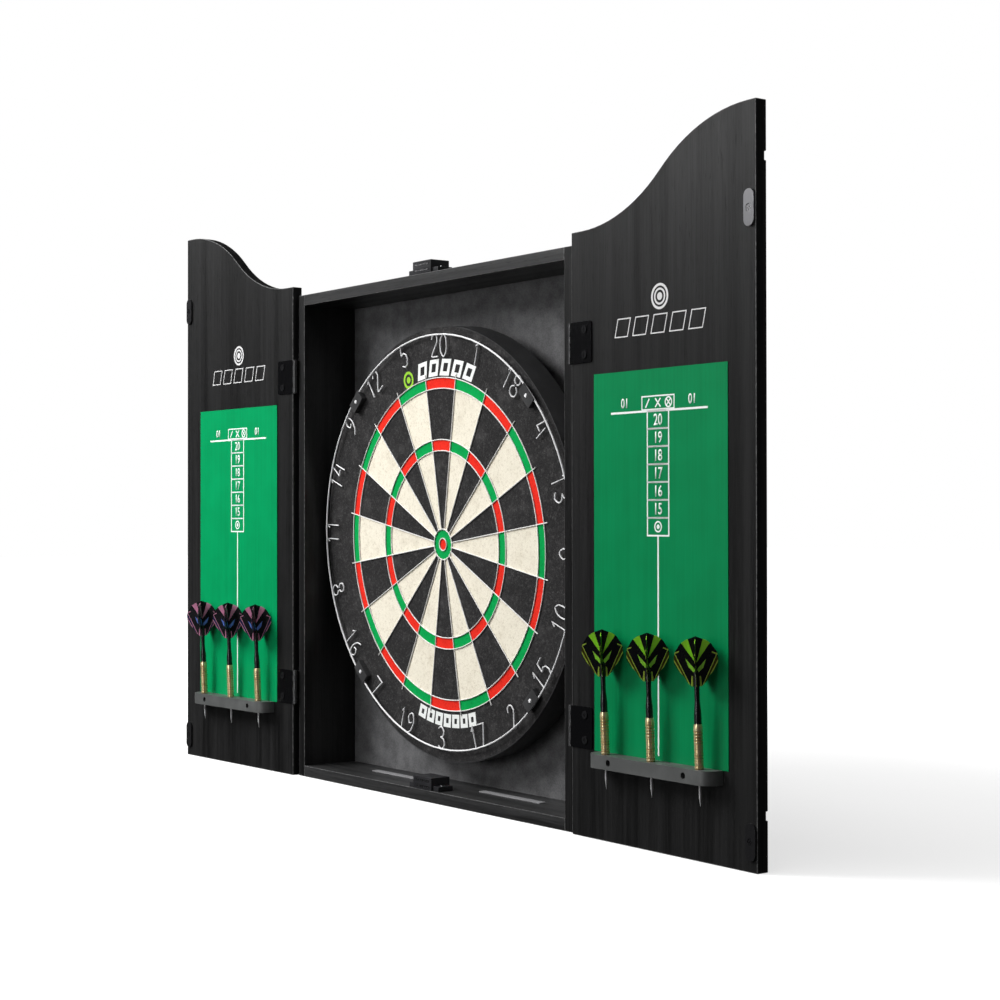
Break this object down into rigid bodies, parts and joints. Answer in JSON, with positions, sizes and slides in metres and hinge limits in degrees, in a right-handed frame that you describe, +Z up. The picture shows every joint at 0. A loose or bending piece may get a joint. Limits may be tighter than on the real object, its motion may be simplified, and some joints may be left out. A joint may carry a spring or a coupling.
{
  "type": "dart board cabinet",
  "caption": "Wall-hung dart board cabinet with two hinged ogee-topped doors, printed score panels, dart holders, lift-out darts and a turning bristle board.",
  "frame": {"origin": "centre of the wall-screw pattern on the back face of the case", "axes": "+X to the viewer's right along the case, +Y into the wall, +Z up"},
  "size_m": [0.9955, 0.11, 0.6335],
  "materials": {
    "black_laminate": "satin wood-grain laminate",
    "back_laminate": "matte laminate",
    "aluminium_strip": "brushed",
    "black_plastic": "satin",
    "steel": "bright",
    "black_steel": "black, satin",
    "green_panel": "printed, semi-gloss",
    "sisal_black": "compressed fibre",
    "sisal_cream": "compressed fibre",
    "sisal_red": "compressed fibre",
    "sisal_green": "compressed fibre",
    "white_wire": "white coated wire",
    "brass": "polished, knurled",
    "lime_flight": "printed film",
    "purple_flight": "printed film"
  },
  "bodies": {
    "case": {"side_panels": "black_laminate", "top_panel": "black_laminate", "bottom_panel": "black_laminate", "back_panel": "back_laminate", "floor_strips": "aluminium_strip", "catch_housings": "black_plastic", "catch_poles": "steel", "case_leaves": "black_steel", "board_bracket": "steel", "case_screws": "steel"},
    "left_door": {"door_left": "black_laminate", "score_panel_left": "green_panel", "dart_holder_left": "black_plastic", "strikes_left": "black_steel", "door_leaves_left": "black_steel", "screws_left": "steel"},
    "right_door": {"door_right": "black_laminate", "score_panel_right": "green_panel", "dart_holder_right": "black_plastic", "strikes_right": "black_steel", "door_leaves_right": "black_steel", "screws_right": "steel"},
    "board": {"board_core": "sisal_black", "board_band": "black_steel", "sisal_surround": "sisal_black", "beds_black": "sisal_black", "beds_cream": "sisal_cream", "beds_red": "sisal_red", "beds_green": "sisal_green", "spider_rings": "steel", "spider_radials": "steel", "number_ring": "white_wire", "numerals": "white_wire", "ring_clips": "black_plastic", "clip_nails": "steel", "board_hub": "steel"},
    "dart_left_1": {"point_left_1": "steel", "barrel_left_1": "brass", "shaft_left_1": "black_plastic", "flight_left_1": "purple_flight"},
    "dart_left_2": {"point_left_2": "steel", "barrel_left_2": "brass", "shaft_left_2": "black_plastic", "flight_left_2": "purple_flight"},
    "dart_left_3": {"point_left_3": "steel", "barrel_left_3": "brass", "shaft_left_3": "black_plastic", "flight_left_3": "purple_flight"},
    "dart_right_1": {"point_right_1": "steel", "barrel_right_1": "brass", "shaft_right_1": "black_plastic", "flight_right_1": "lime_flight"},
    "dart_right_2": {"point_right_2": "steel", "barrel_right_2": "brass", "shaft_right_2": "black_plastic", "flight_right_2": "lime_flight"},
    "dart_right_3": {"point_right_3": "steel", "barrel_right_3": "brass", "shaft_right_3": "black_plastic", "flight_right_3": "lime_flight"}
  },
  "joints": [
    {"name": "left_door_hinge", "type": "hinge", "parent": "case", "child": "left_door", "pos_m": [-0.2493, -0.0768, 0], "axis": [0, 0, 1], "range_deg": [-1.4, 178.6]},
    {"name": "right_door_hinge", "type": "hinge", "parent": "case", "child": "right_door", "pos_m": [0.2493, -0.0768, 0], "axis": [0, 0, -1], "range_deg": [-0.9, 179.1]},
    {"name": "board_turn", "type": "hinge", "parent": "case", "child": "board", "pos_m": [0, -0.046, -0.008], "axis": [0, 0.9993, 0.0384], "continuous": true},
    {"name": "dart_left_1_lift", "type": "slide", "parent": "left_door", "child": "dart_left_1", "axis": [0.0009, -0.0384, 0.9993], "range_m": [0, 0.03]},
    {"name": "dart_left_2_lift", "type": "slide", "parent": "left_door", "child": "dart_left_2", "axis": [0.0009, -0.0384, 0.9993], "range_m": [0, 0.03]},
    {"name": "dart_left_3_lift", "type": "slide", "parent": "left_door", "child": "dart_left_3", "axis": [0.0009, -0.0384, 0.9993], "range_m": [0, 0.03]},
    {"name": "dart_right_1_lift", "type": "slide", "parent": "right_door", "child": "dart_right_1", "axis": [-0.0006, -0.0384, 0.9993], "range_m": [0, 0.03]},
    {"name": "dart_right_2_lift", "type": "slide", "parent": "right_door", "child": "dart_right_2", "axis": [-0.0006, -0.0384, 0.9993], "range_m": [0, 0.03]},
    {"name": "dart_right_3_lift", "type": "slide", "parent": "right_door", "child": "dart_right_3", "axis": [-0.0006, -0.0384, 0.9993], "range_m": [0, 0.03]}
  ]
}
